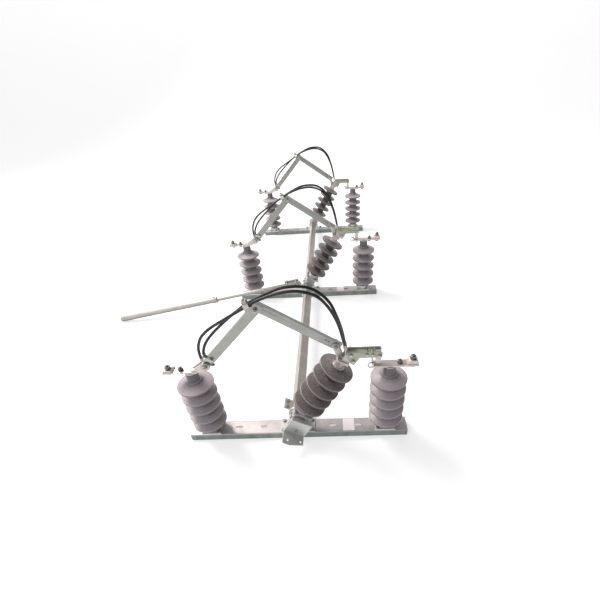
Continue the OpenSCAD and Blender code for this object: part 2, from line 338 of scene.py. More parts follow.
def hot_dip_zinc(name, colour, shaded_flange_colour=None, spangle_mm=11, underside_shade=1.0):
    """Hot-dip galvanised steel: zinc crystals about a centimetre across, each with its own grey and gloss."""
    tree, close = new_material(name)
    inputs = {"Vector": place(tree), "Scale": 1 / (spangle_mm * MM), "Randomness": 1.0}
    crystals = add_node(tree, "ShaderNodeTexVoronoi", inputs)
    cell = add_node(tree, "ShaderNodeSeparateColor", {"Color": crystals.outputs["Color"]}).outputs[0]
    base = mix(tree, cell, shade(colour, 0.93), shade(colour, 1.06))
    # White bloom in clouds a hand wide
    bloom = levels(tree, noise(tree, 90, 4), 0.48, 0.72, 0.0, 0.35)
    base = mix(tree, bloom, base, srgb("#ddd8d6"))
    if shaded_flange_colour:
        # Painted reflection and shade: the flanges turn a darker green-grey in vertical streaks, from 1 mm
        # under the web's top
        height = part_of(tree, place(tree), 2)
        vertical_streaks = levels(tree, noise(tree, 40, 3, (1, 1, 0.2)), 0.3, 0.8, 0.75, 1.0)
        down = levels(tree, height, -0.0015, -0.005, 0.0, 1.0)
        base = mix(tree, times(tree, vertical_streaks, down), base, list(shaded_flange_colour))
    if underside_shade < 1:
        # Painted shade: darker where the surface faces down
        base = mix(tree, levels(tree, facing_up(tree), -0.4, 0.5), shade(colour, underside_shade), base)
    dull = levels(tree, cell, 0, 1, 0.34, 0.52)
    relief = bump(tree, noise(tree, 6, 2), 0.06)
    return close({"Base Color": base, "Metallic": 0.55, "Roughness": dull, "Normal": relief})


def drawn_metal(name, colour, roughness=0.38, metallic=0.9):
    """Drawn or rolled metal: lines along the piece, a few times coarser than the die's so that they show."""
    tree, close = new_material(name)
    lines = noise(tree, 2.7, 2, (0.03, 1, 1))
    base = clouded(tree, colour, noise(tree, 60, 3), 0.93, 1.05)
    base = mix(tree, levels(tree, lines, 0.4, 0.65, 0.0, 0.18), base, shade(colour, 0.72))
    dull = levels(tree, lines, 0.3, 0.7, roughness - 0.06, roughness + 0.1)
    relief = bump(tree, lines, 0.03)
    return close({"Base Color": base, "Metallic": metallic, "Roughness": dull, "Normal": relief})


def cast_metal(name, colour, roughness, metallic):
    """Sand casting: the mould's grain all over, a little brighter where it is rubbed."""
    tree, close = new_material(name)
    grain = noise(tree, 1.6, 4, rough=0.6)
    base = clouded(tree, colour, noise(tree, 30, 3), 0.9, 1.06)
    base = mix(tree, levels(tree, grain, 0.55, 0.75, 0.0, 0.3), base, shade(colour, 0.7))
    dull = levels(tree, grain, 0.3, 0.7, roughness - 0.08, roughness + 0.1)
    relief = bump(tree, grain, 0.25)
    return close({"Base Color": base, "Metallic": metallic, "Roughness": dull, "Normal": relief})


def silicone_rubber(name, colour, dust_and_highlight="#c9bfc2", rim_highlight=0.0):
    """Moulded silicone rubber: satin, with painted shade on the undersides and towards the core, dust and
    painted light on top, and painted highlights on the rims.
    """
    tree, close = new_material(name)
    clouds = noise(tree, 45, 4)
    base = clouded(tree, colour, clouds, 0.9, 1.08, 0.3)
    up = facing_up(tree)
    # Painted shade: darker where the surface faces down
    base = mix(tree, levels(tree, up, -0.4, 0.8), shade(colour, 0.2), base)
    # Painted shade: darker towards the core, and on the neck and foot
    base = mix(tree, levels(tree, marked(tree, "notch"), 0, 1, 0.0, 0.75), base, shade(colour, 0.22))
    # Dust on the faces that look up, which is also painted light on the tops
    dust_and_top_light = levels(tree, up, 0.5, 0.95, 0.0, 0.6)
    specks = levels(tree, noise(tree, 8, 5, rough=0.65), 0.42, 0.62, 0.4, 1.0)
    base = mix(tree, times(tree, dust_and_top_light, specks), base, srgb(dust_and_highlight))
    # Painted highlight: a pale band on the upper edge of each rim
    base = mix(tree, levels(tree, marked(tree, "rim"), 0, 1, 0.0, rim_highlight), base, srgb(dust_and_highlight))
    dull = levels(tree, clouds, 0.3, 0.7, 0.3, 0.4)
    relief = bump(tree, noise(tree, 2.5, 2), 0.05)
    return close(
        {"Base Color": base, "Roughness": dull, "Normal": relief, "Specular IOR Level": 0.55, "IOR": 1.43}
    )


def passivated_zinc():
    """Zinc with chromate passivation: greenish outside, and between the blades a yellow-green made paler as
    painted light, in soft patches.
    """
    tree, close = new_material("chromate_passivated_zinc")
    patches = noise(tree, 22, 3)
    outside = clouded(tree, colours().blades, patches, 0.92, 1.08, 0.3)
    pitch = PHASES["back"] - PHASES["middle"]
    inputs = {0: part_of(tree, place(tree), 1), 1: pitch}
    local = add_node(tree, "ShaderNodeMath", inputs, operation="PINGPONG").outputs[0]
    near = levels(tree, local, BLADE_GAP[0] * MM, BLADE_GAP[1] * MM, 1.0, 0.0)
    # Partly painted light: the faces between the blades get a paler yellow-green that lifts their shade
    base = mix(tree, near, outside, list(colours().blades_inside))
    dull = levels(tree, patches, 0.3, 0.7, 0.28, 0.4)
    return close({"Base Color": base, "Metallic": 0.55, "Roughness": dull})


def rubber_jacket():
    """Extruded rubber jacket: black, with a soft sheen and faint lines along the cable."""
    tree, close = new_material("extruded_rubber_jacket")
    scuffs = noise(tree, 12, 4)
    base = mix(tree, levels(tree, scuffs, 0.5, 0.75, 0.0, 0.5), list(colours().jacket), srgb("#2a2a2b"))
    dull = levels(tree, scuffs, 0.3, 0.7, 0.3, 0.45)
    return close({"Base Color": base, "Roughness": dull, "Normal": bump(tree, noise(tree, 1.5, 2), 0.05)})


def plated_bolts(name, colour, roughness=0.3):
    """Electroplated fasteners: even zinc with faint turning marks."""
    tree, close = new_material(name)
    marks = noise(tree, 3, 3)
    base = clouded(tree, colour, marks, 0.8, 1.1)
    dull = levels(tree, marks, 0.3, 0.7, roughness - 0.06, roughness + 0.14)
    return close({"Base Color": base, "Metallic": 0.95, "Roughness": dull})


def anodised_plate():
    """Blank label plate in satin anodised aluminium."""
    tree, close = new_material("satin_anodised_plate")
    lines = noise(tree, 1.5, 2, (0.05, 1, 1))
    scored = levels(tree, lines, 0.4, 0.6, 0.0, 0.3)
    base = mix(tree, scored, list(colours().plate), shade(colours().plate, 0.85))
    return close({"Base Color": base, "Metallic": 0.1, "Roughness": 0.42})


def studio_floor():
    """Pale matt floor paint with the faintest clouds."""
    tree, close = new_material("pale_matt_floor")
    base = clouded(tree, colours().floor, noise(tree, 900, 2), 1.0, 0.985, 0.3)
    glow = {"Emission Color": srgb("#ffffff"), "Emission Strength": 0.55}
    return close({"Base Color": base, "Roughness": 0.85, **glow})


MADE = {}


def finish(name):
    """The material called name, made once."""
    if name not in MADE:
        c = colours()
        makers = {
            "channel": lambda: hot_dip_zinc("hot_dip_zinc_channel", c.zinc, c.zinc_flange),
            "fittings": lambda: hot_dip_zinc("hot_dip_zinc_fittings", c.fittings, spangle_mm=7),
            "shaft": lambda: hot_dip_zinc("hot_dip_zinc_shaft", c.shaft, spangle_mm=9),
            "lever": lambda: hot_dip_zinc("hot_dip_zinc_lever", c.lever, spangle_mm=8, underside_shade=0.35),
            "arm": lambda: drawn_metal("drawn_aluminium_tube", c.arm),
            "terminal": lambda: drawn_metal("tinned_rolled_bar", c.terminal, 0.34, metallic=0.6),
            "sheds": lambda: silicone_rubber("silicone_rubber_posts", c.sheds, rim_highlight=0.3),
            "rocker_sheds": lambda: silicone_rubber(
                "silicone_rubber_rockers", c.rocker_sheds, "#b5adab", 0.55
            ),
            "casting": lambda: cast_metal("galvanised_casting", c.casting, 0.58, metallic=0.45),
            "cap": lambda: cast_metal("sand_cast_aluminium", c.cap, 0.46, metallic=0.6),
            "blades": passivated_zinc,
            "jacket": rubber_jacket,
            "bolts": lambda: plated_bolts("zinc_plated_bolts", c.bolts),
            "nuts": lambda: plated_bolts("weathered_zinc_nuts", c.nuts, 0.4),
            "plate": anodised_plate,
            "floor": studio_floor,
        }
        MADE[name] = makers[name]()
    return MADE[name]


# ---- Mesh helpers ----


def new_object(name, mesh):
    """An object in the scene."""
    piece = bpy.data.objects.new(name, mesh)
    bpy.context.scene.collection.objects.link(piece)
    return piece


def mesh_from(name, build, smooth=True):
    """A mesh made by a function that fills a bmesh."""
    bm = bmesh.new()
    build(bm)
    bmesh.ops.remove_doubles(bm, verts=bm.verts, dist=1e-6)
    bmesh.ops.recalc_face_normals(bm, faces=bm.faces)
    mesh = bpy.data.meshes.new(name)
    bm.to_mesh(mesh)
    bm.free()
    mesh.polygons.foreach_set("use_smooth", [smooth] * len(mesh.polygons))
    return mesh


def sharpen(mesh, degrees=32):
    """Marks the edges that stay crisp on a smooth mesh."""
    mesh.set_sharp_from_angle(angle=math.radians(degrees))
    return mesh


def arc(centre, radius, start, stop, steps):
    """Points along an arc, in degrees."""
    turns = [math.radians(start + (stop - start) * i / steps) for i in range(steps + 1)]
    return [(centre[0] + radius * math.cos(a), centre[1] + radius * math.sin(a)) for a in turns]


def lathe(bm, profile, segments, place=Matrix()):
    """Turns (radius, height) points in mm about Z. Ends on the axis close; other ends stay open."""
    rings = []
    for radius, height in profile:
        if radius < 1e-6:
            rings.append([bm.verts.new(place @ Vector((0, 0, height * MM)))] * segments)
            continue
        turns = [2 * math.pi * k / segments for k in range(segments)]
        reach = radius * MM
        circle = [Vector((reach * math.cos(a), reach * math.sin(a), height * MM)) for a in turns]
        rings.append([bm.verts.new(place @ point) for point in circle])
    for low, high in zip(rings, rings[1:]):
        for k in range(segments):
            m = (k + 1) % segments
            corners = list(dict.fromkeys([low[k], low[m], high[m], high[k]]))
            if len(corners) > 2:
                bm.faces.new(corners)


def prism(bm, outline, low, high, place=Matrix()):
    """An outline in mm, extruded along Z from low to high."""
    rings = []
    for z in (low, high):
        rings.append([bm.verts.new(place @ Vector((x * MM, y * MM, z * MM))) for x, y in outline])
    bm.faces.new(rings[0][::-1])
    bm.faces.new(rings[1])
    count = len(outline)
    for k in range(count):
        m = (k + 1) % count
        bm.faces.new([rings[0][k], rings[0][m], rings[1][m], rings[1][k]])


def rounded(width, depth, radius, steps=4):
    """Outline of a rectangle about the origin with round corners, in mm."""
    x, y = width / 2 - radius, depth / 2 - radius
    corners = [((x, y), 0), ((-x, y), 90), ((-x, -y), 180), ((x, -y), 270)]
    return [p for centre, start in corners for p in arc(centre, radius, start, start + 90, steps)]


def bevelled(piece, width, segments=2):
    """Rounds a piece's edges for good."""
    cut = piece.modifiers.new("soft_edges", "BEVEL")
    cut.width = width
    cut.segments = segments
    cut.limit_method = "ANGLE"
    cut.angle_limit = math.radians(35)
    cut.harden_normals = True
    return settle(piece)


def settle(piece):
    """Replaces a piece's mesh by what its modifiers make of it."""
    graph = bpy.context.evaluated_depsgraph_get()
    mesh = bpy.data.meshes.new_from_object(piece.evaluated_get(graph), depsgraph=graph)
    piece.modifiers.clear()
    old = piece.data
    piece.data = mesh
    if not old.users:
        bpy.data.meshes.remove(old)
    return piece


def make(name, build, edge=0.0, segments=2, smooth=True):
    """A piece whose mesh a function fills, with its edges rounded by so many metres."""
    piece = new_object(name, mesh_from(name, build, smooth))
    return bevelled(piece, edge, segments) if edge else piece


def mark(mesh, name, values):
    """Keeps a number for each of the mesh's points, for its material to read."""
    mesh.attributes.new(name, "FLOAT", "POINT").data.foreach_set("value", values)


def facing(point, direction, spin=0.0):
    """A matrix with its origin at a point in mm and its Z along direction."""
    turn = Vector(direction).to_track_quat("Z", "Y").to_matrix().to_4x4()
    return Matrix.Translation(Vector(point) * MM) @ turn @ Matrix.Rotation(spin, 4, "Z")


def tilted(phase_y):
    """The rocking post's own frame: Z along the post, origin on the shaft's axis."""
    return Matrix.Translation((0, phase_y, SHAFT_Z * MM)) @ Matrix.Rotation(TILT, 4, "Y")


def along_arm(start, end, phase_y):
    """An arm's own frame: X from one pivot towards the other, Z across the arm."""
    rise = math.atan2(end[1] - start[1], end[0] - start[0])
    spot = Vector((start[0], phase_y / MM, start[1])) * MM
    return Matrix.Translation(spot) @ Matrix.Rotation(-rise, 4, "Y")


def along_left_arm(phase_y):
    """The left arm's frame, from its foot to the elbow."""
    return along_arm(ARM_FOOT, ELBOW, phase_y)


def along_right_arm(phase_y):
    """The right arm's frame, from the elbow to the rocking post's head."""
    return along_arm(ELBOW, ARM_HEAD, phase_y)


def along_lever():
    """The lever's own frame: X from the bracket to the far end, Y level."""
    axis = (LEVER_FAR - LEVER_NEAR).normalized()
    side = Vector((-axis.y, axis.x, 0)).normalized()
    turn = Matrix((axis, side, axis.cross(side))).transposed().to_4x4()
    return Matrix.Translation(LEVER_NEAR * MM) @ turn


def dress(piece, material, body, slot, *nodes):
    """Gives a finished piece its material, the body it rides on and the CAD nodes it stands for."""
    piece.data.materials.clear()
    piece.data.materials.append(finish(material))
    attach(piece, body)
    if nodes:
        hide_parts(*nodes)
    return piece


# ---- Geometry Nodes ----


def new_tree(name, inputs):
    """A geometry tree with named inputs (name, socket type, default): the tree and its input sockets."""
    tree = bpy.data.node_groups.new(name, "GeometryNodeTree")
    face = tree.interface
    face.new_socket("Geometry", in_out="INPUT", socket_type="NodeSocketGeometry")
    face.new_socket("Geometry", in_out="OUTPUT", socket_type="NodeSocketGeometry")
    for label, kind, default in inputs:
        socket = face.new_socket(label, in_out="INPUT", socket_type=kind)
        if default is not None:
            socket.default_value = default
    return tree, add_node(tree, "NodeGroupInput").outputs


def realized(tree, geometry):
    """The geometry with its instances made real."""
    return add_node(tree, "GeometryNodeRealizeInstances", {"Geometry": geometry}).outputs[0]


def finish_tree(tree, entry, geometry):
    """Sets the tree's material and gives the geometry out."""
    inputs = {"Geometry": geometry, "Material": entry["Finish"]}
    dressed = add_node(tree, "GeometryNodeSetMaterial", inputs)
    add_node(tree, "NodeGroupOutput", {"Geometry": dressed.outputs[0]})
    return tree


def apply_tree(piece, tree, values):
    """Runs a tree on a piece, with its inputs by name, and keeps the plain mesh it makes."""
    step = piece.modifiers.new("build", "NODES")
    step.node_group = tree
    for item in tree.interface.items_tree:
        if item.in_out == "INPUT" and item.name in values:
            step[item.identifier] = values[item.name]
    return settle(piece)


def shed_tree():
    """Stacks one bay of an insulator, a shed and its core, and joins it to the ends it starts from."""
    tree, entry = new_tree(
        "shed_stack",
        [
            ("Bay", "NodeSocketObject", None),
            ("Sheds", "NodeSocketInt", 5),
            ("Gap", "NodeSocketFloat", 0.0585),
            ("First", "NodeSocketFloat", 0.066),
            ("Finish", "NodeSocketMaterial", None),
        ],
    )
    bay = add_node(tree, "GeometryNodeObjectInfo", {"Object": entry["Bay"], "As Instance": True})
    start = add_node(tree, "ShaderNodeCombineXYZ", {"Z": entry["First"]}).outputs[0]
    step = add_node(tree, "ShaderNodeCombineXYZ", {"Z": entry["Gap"]}).outputs[0]
    line = add_node(
        tree, "GeometryNodeMeshLine", {"Count": entry["Sheds"], "Start Location": start, "Offset": step}
    )
    inputs = {"Points": line.outputs[0], "Instance": bay.outputs[4]}
    stack = add_node(tree, "GeometryNodeInstanceOnPoints", inputs)
    both = add_node(tree, "GeometryNodeJoinGeometry", {"Geometry": entry["Geometry"]})
    tree.links.new(stack.outputs[0], both.inputs[0])
    inputs = {"Geometry": realized(tree, both.outputs[0]), "Distance": 2e-5}
    merged = add_node(tree, "GeometryNodeMergeByDistance", inputs)
    return finish_tree(tree, entry, merged.outputs[0])


def fastener_tree():
    """Puts the fastener of each point's kind on it, along the point's direction."""
    tree, entry = new_tree(
        "fasteners",
        [("Kinds", "NodeSocketCollection", None), ("Finish", "NodeSocketMaterial", None)],
    )
    inputs = {"Collection": entry["Kinds"], "Separate Children": True, "Reset Children": True}
    kinds = add_node(tree, "GeometryNodeCollectionInfo", inputs)

    def named(label, kind):
        return add_node(
            tree, "GeometryNodeInputNamedAttribute", {"Name": label}, data_type=kind
        ).outputs["Attribute"]

    turn = add_node(
        tree, "FunctionNodeAlignRotationToVector", {"Vector": named("direction", "FLOAT_VECTOR")}, axis="Z"
    )
    spin = add_node(tree, "ShaderNodeCombineXYZ", {"Z": named("spin", "FLOAT")}).outputs[0]
    inputs = {"Rotation": turn.outputs[0], "Rotate By": spin}
    spun = add_node(tree, "FunctionNodeRotateRotation", inputs, rotation_space="LOCAL")
    stamped = add_node(
        tree,
        "GeometryNodeInstanceOnPoints",
        {
            "Points": entry["Geometry"],
            "Instance": kinds.outputs[0],
            "Pick Instance": True,
            "Instance Index": named("kind", "INT"),
            "Rotation": spun.outputs[0],
            "Scale": named("size", "FLOAT"),
        },
    )
    return finish_tree(tree, entry, realized(tree, stamped.outputs[0]))


def sweep_tree():
    """Sweeps a round section along the path it is given."""
    tree, entry = new_tree(
        "round_sweep",
        [
            ("Radius", "NodeSocketFloat", 0.0075),
            ("Sides", "NodeSocketInt", 20),
            ("Finish", "NodeSocketMaterial", None),
        ],
    )
    path = add_node(tree, "GeometryNodeMeshToCurve", {"Mesh": entry["Geometry"]})
    ring = add_node(
        tree, "GeometryNodeCurvePrimitiveCircle", {"Resolution": entry["Sides"], "Radius": entry["Radius"]}
    )
    tube = add_node(
        tree,
        "GeometryNodeCurveToMesh",
        {"Curve": path.outputs[0], "Profile Curve": ring.outputs[0], "Fill Caps": True},
    )
    real = realized(tree, tube.outputs[0])
    smooth = add_node(tree, "GeometryNodeSetShadeSmooth", {"Geometry": real})
    return finish_tree(tree, entry, smooth.outputs[0])


def swept(name, points, radius, material, sides=20, closed=False):
    """A round bar or cable along points in metres, as a plain mesh."""
    mesh = bpy.data.meshes.new(name)
    count = len(points)
    edges = [(i, (i + 1) % count) for i in range(count if closed else count - 1)]
    mesh.from_pydata([tuple(p) for p in points], edges, [])
    piece = new_object(name, mesh)
    values = {"Radius": radius, "Sides": sides, "Finish": finish(material)}
    apply_tree(piece, tree_named("round_sweep"), values)
    return piece


def tree_named(name):
    """A geometry tree, made once."""
    makers = {"shed_stack": shed_tree, "fasteners": fastener_tree, "round_sweep": sweep_tree}
    return bpy.data.node_groups.get(name) or makers[name]()


def smooth_path(points, steps=8):
    """A curve through points, with steps pieces between each two, as a Catmull-Rom spline."""
    ends = [points[0] * 2 - points[1], *points, points[-1] * 2 - points[-2]]
    path = []
    for a, b, c, d in zip(ends, ends[1:], ends[2:], ends[3:]):
        for i in range(steps):
            t = i / steps
            square, cube = 2 * a - 5 * b + 4 * c - d, 3 * b - a - 3 * c + d
            path.append(0.5 * (2 * b + (c - a) * t + square * t**2 + cube * t**3))
    return [*path, points[-1]]


# ---- Fasteners ----

HEAD, NUT, PIVOT, RIVET = range(4)


def hexagon(bm, across_flats, low, high, chamfer=1.3):
    """A hexagon with its corners turned off at the top, in mm."""
    flat = across_flats / 2
    corner = flat / math.cos(math.radians(30))
    rows = [(corner, flat, low, low), (corner, flat, high - chamfer, high - 0.25)]
    rows += [(flat * 0.95, flat * 0.95, high, high)]
    rings = []
    for at_corner, at_flat, corner_z, flat_z in rows:
        ring = []
        for k in range(12):
            radius, height = (at_flat, flat_z) if k % 2 else (at_corner, corner_z)
            a = math.radians(30 * k)
            ring.append(bm.verts.new(Vector((radius * math.cos(a), radius * math.sin(a), height)) * MM))
        rings.append(ring)
    bm.faces.new(rings[0][::-1])
    bm.faces.new(rings[-1])
    for lower, upper in zip(rings, rings[1:]):
        for k in range(12):
            m = (k + 1) % 12
            bm.faces.new([lower[k], lower[m], upper[m], upper[k]])


def washer(bm, radius, low, high):
    """A flat washer with a turned edge, in mm."""
    lathe(bm, [(0, low), (radius, low), (radius, high - 0.4), (radius - 0.4, high), (0, high)], 28)


def stud(bm, radius, low, high):
    """The end of a threaded stud, with a few turns of thread and a chamfer, in mm."""
    turns = int((high - low - 1.5) / 1.75)
    thread = [(0, low)]
    for k in range(turns):
        z = low + k * 1.75
        thread += [(radius - 0.9, z), (radius, z + 0.85)]
    thread += [(radius - 0.9, high - 1.2), (radius - 1.6, high), (0, high)]
    lathe(bm, thread, 20)


def head_kind(bm):
    """A hexagon bolt's head on a washer."""
    washer(bm, 12, 0, 2.2)
    hexagon(bm, 18.5, 2.2, 9.8)


def nut_kind(bm):
    """A washer, a spring washer, a nut and the stud's end."""
    washer(bm, 12, 0, 2.2)
    washer(bm, 9.6, 2.2, 4.2)
    hexagon(bm, 18.5, 4.2, 13.6)
    stud(bm, 6, 13, 19)


def pivot_kind(bm):
    """A wide washer and a pin's head, over a pivot's ear."""
    washer(bm, 19, 0, 2.4)
    washer(bm, 12.5, 2.4, 4.2)
    hexagon(bm, 18.5, 4.2, 11.5)
    stud(bm, 6, 11, 14)


def rivet_kind(bm):
    """A low round rivet head."""
    lathe(bm, [(0, 0), (4.4, 0), (4.4, 0.5), (3.6, 1.5), (2, 2.1), (0, 2.3)], 20)


def fastener_kinds():
    """The four kinds of fastener, as a collection in order."""
    group = bpy.data.collections.new("fastener_kinds")
    bpy.context.scene.collection.children.link(group)
    for k, build in enumerate([head_kind, nut_kind, pivot_kind, rivet_kind]):
        name = f"{k}_{build.__name__}"
        mesh = sharpen(mesh_from(name, build))
        group.objects.link(bpy.data.objects.new(name, mesh))
    return group


def drop(group):
    """Removes a collection of patterns and what is in it."""
    for pattern in list(group.objects):
        bpy.data.objects.remove(pattern)
    bpy.data.collections.remove(group)


def fasten(name, spots, group, material, body, slot):
    """One dressed piece of fasteners from spots: (kind, point in mm, direction, size, spin in degrees)."""
    mesh = bpy.data.meshes.new(name)
    mesh.from_pydata([Vector(s[1]) * MM for s in spots], [], [])
    columns = {
        "kind": ("INT", "value", [s[0] for s in spots]),
        "direction": ("FLOAT_VECTOR", "vector", [c for s in spots for c in Vector(s[2])]),
        "size": ("FLOAT", "value", [s[3] for s in spots]),
        "spin": ("FLOAT", "value", [math.radians(s[4]) for s in spots]),
    }
    for label, (kind, field, values) in columns.items():
        mesh.attributes.new(label, kind, "POINT").data.foreach_set(field, values)
    piece = new_object(name, mesh)
    apply_tree(piece, tree_named("fasteners"), {"Kinds": group, "Finish": finish(material)})
    return dress(piece, material, body, slot)


def moved(matrix, spots):
    """Spots from a piece's own frame, in mm, into the row frame."""
    turn = matrix.to_3x3()
    points = [(matrix @ (Vector(spot[1]) * MM)) / MM for spot in spots]
    return [(kind, p, turn @ Vector(d), s, spin) for p, (kind, _, d, s, spin) in zip(points, spots)]


UP, DOWN, TO_FRONT, TO_BACK = (0, 0, 1), (0, 0, -1), (0, -1, 0), (0, 1, 0)


def base_spots():
    """Bolts of the feet and bearings, in one phase."""
    feet = [
        (HEAD, (side * POST_X + dx, dy, 8), UP, 0.8, 20 * dx + dy)
        for side in SIDES
        for dx in (-36, 36)
        for dy in (-29, 29)
    ]
    bearing = [(HEAD, (x, y, 6), UP, 0.8, x + y) for x in (-66, 66) for y in (-27, 27)]
    finger = [(HEAD, (352, 0, BAR_BOTTOM), DOWN, 0.9, 10)]
    return feet + bearing + finger


def terminal_spots():
    """Studs of the terminal bars, in one phase: a plain one, and one through a saddle."""
    inner, outer = BAR_HOLES
    spots = []
    for side in SIDES:
        spots += [
            (NUT, (side * inner, 0, BAR_TOP), UP, 0.95, 12 * side),
            (HEAD, (side * inner, 0, BAR_BOTTOM), DOWN, 0.95, 40),
            (NUT, (side * outer, 0, BAR_TOP + SADDLE_TOP[side]), UP, 1.05, 25 * side),
            (HEAD, (side * outer, 0, BAR_BOTTOM), DOWN, 1.05, 5),
        ]
    return spots


def rocker_spots():
    """Bolts in the rocking post's own frame, in one phase."""
    foot = [(HEAD, (x, y, 68), UP, 0.8, x + y) for x in (-36, 36) for y in (-29, 29)]
    clamp = [(HEAD, (-32, y, 8), (-1, 0, 0), 0.7, y) for y in (-11, 11)]
    saddle = [(HEAD, (-12, -11, 413), UP, 0.65, 15)]
    return foot + clamp + saddle


def head_spots():
    """Bolts of the rocker's head and blades, in one phase."""
    spots = [
        (NUT, (ARM_HEAD[0], 3, ARM_HEAD[1]), TO_FRONT, 0.85, 10),
        (NUT, (ARM_HEAD[0], 33, ARM_HEAD[1]), TO_BACK, 0.85, 10),
    ]
    for x, z, size in ((245, 440, 0.8), (253, 409, 0.75), (307, 440, 0.62), (328, 440, 0.62)):
        spots += [
            (HEAD, (x, -BLADE_FACE_Y, z), TO_FRONT, size, x),
            (NUT, (x, BLADE_FACE_Y, z), TO_BACK, size, z),
        ]
    spots += [(HEAD, (354, side * BLADE_FACE_Y, 433), (0, side, 0), 0.7, 30) for side in SIDES]
    spots += [(HEAD, (214.4, side * JUMPER_Y, 425.4), PALM_NORMAL, 0.62, 30) for side in SIDES]
    return spots


def arm_left_spots():
    """Pins and bolts of the left arm, in one phase."""
    spots = [
        (PIVOT, (ARM_FOOT[0], side * 15.3, ARM_FOOT[1]), (0, side, 0), 1.0, 5 * side) for side in SIDES
    ]
    spots += [
        (NUT, (ELBOW[0], ARM_BACK_Y[0], ELBOW[1]), TO_FRONT, 0.8, 15),
        (NUT, (ELBOW[0], ARM_BACK_Y[1], ELBOW[1]), TO_BACK, 0.8, 15),
    ]
    return spots


def shifted(spots, phase_y):
    """Spots of one phase, at that phase."""
    return [(kind, (p[0], p[1] + phase_y / MM, p[2]), d, s, spin) for kind, p, d, s, spin in spots]


# ---- Operators: one for each piece or group of like pieces ----


class SWITCH_OT_camera(bpy.types.Operator):
    """Puts the camera in front of the front phase, above it and a little to the right"""

    bl_idname = "switch.camera"
    bl_label = "Camera"

    def execute(self, context):
        heading, drop_angle, roll = -0.0499, 0.6813, -0.0678
        level = math.cos(drop_angle)
        ahead = Vector((math.sin(heading) * level, math.cos(heading) * level, -math.sin(drop_angle)))
        right = Vector((math.cos(heading), -math.sin(heading), 0))
        up = right.cross(ahead)
        across = right * math.cos(roll) + up * math.sin(roll)
        above = up * math.cos(roll) - right * math.sin(roll)
        data = bpy.data.cameras.new("studio_camera")
        data.lens = 20.59
        data.sensor_width = 36
        data.shift_x = -0.0389
        data.shift_y = 0.0718
        data.clip_end = 60
        camera = bpy.data.objects.new("studio_camera", data)
        context.scene.collection.objects.link(camera)
        turn = Matrix((across, above, -ahead)).transposed().to_4x4()
        camera.matrix_world = Matrix.Translation((0.1928, -2.2399, 1.303)) @ turn
        context.scene.camera = camera
        return {"FINISHED"}


class SWITCH_OT_jumpers(bpy.types.Operator):
    """Makes the two jumper cables of each phase, each in two halves that meet at the top of the arch"""

    bl_idname = "switch.jumpers"
    bl_label = "Jumper cables"

    def execute(self, context):
        radius = sizes().jumper / 2
        steps = 8
        top = (len(ROUTES_LEFT[0]) - 1) * steps
        for phase, phase_y in PHASES.items():
            for side, rank, low, high in zip(SIDES, ("near", "far"), ROUTES_LEFT, ROUTES_RIGHT):
                y = phase_y + side * JUMPER_Y * MM
                path = smooth_path([Vector((x * MM, y, z * MM)) for x, z in [*low, *high[1:]]], steps)
                clamp = Vector((CLAMPED[1][0] * MM, y, CLAMPED[1][1] * MM))
                arm_left, arm_right = f"arm_left_{phase}", f"arm_right_{phase}"
                halves = {
                    "left": (path[: top + 1], arm_left, arm_right, clamp, path[top]),
                    "right": (path[top:], arm_right, "rocker", path[top], path[-1]),
                }
                for half, (points, first, second, start, end) in halves.items():
                    cable = swept(f"jumper_{half}_{rank}_{phase}", points, radius, "jacket", 24)
                    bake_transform(cable)
                    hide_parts(f"cable_{half}_{phase}")
        return {"FINISHED"}


def shed_bay(kind):
    """One shed and the core round it: a thick rim with round edges, on a disc that rises to the core."""
    core, rim = core_radius(kind), sizes().shed_radius / MM
    gap = sizes().shed_gap / MM
    top = BAY_TOP[kind]
    profile = [(core, top - gap), (core, -14), (core + 0.8, -8), (core + 4, -4.6)]
    profile += [(core + 22, -5.1), (rim - 6, -5.5)]
    profile += [*arc((rim - 2.6, -2.9), 2.6, -90, 0, 5), (rim, -1.5)]
    profile += [(rim, 1.5), *arc((rim - 2.6, 2.9), 2.6, 0, 90, 5)]
    rise = SHED_RISE[kind]
    slope = [(rim - 6, 0.05), (core + 20, 0.4), (core + 8, 0.66), (core + 3, 0.8), (core, 1)]
    profile += [(radius, 5.6 + rise * part) for radius, part in slope]
    return profile + [(core, top)]


def core_radius(kind):
    """Radius of an insulator between its sheds, in mm: the rocking ones are slimmer."""
    return sizes().core_radius / MM * CORE_SHARE[kind]


def post_ends(kind):
    """The rubber below the first bay and the neck above the last one, with (0, height) points on the axis."""
    core, neck = core_radius(kind), min(sizes().neck_radius / MM, core_radius(kind) - 3)
    gap = sizes().shed_gap / MM
    low = FIRST_SHED[kind] + BAY_TOP[kind] - gap
    high = FIRST_SHED[kind] + (sizes().shed_count - 1) * gap + BAY_TOP[kind]
    foot = [(0, POST_LOW[kind]), (core - 2, POST_LOW[kind]), (core, POST_LOW[kind] + 2), (core, low)]
    if kind == "rocking":
        return foot, [(core, high), (core - 1, high + 0.5), (0, high + 0.5)]
    crown = [(core, high), *arc((core - 3, high), 3, 0, 80, 3), (neck + 1.5, high + 3.6), (neck, high + 6)]
    crown += [(neck, POST_TOP - 2), (neck - 1.5, POST_TOP), (0, POST_TOP)]
    return foot, crown


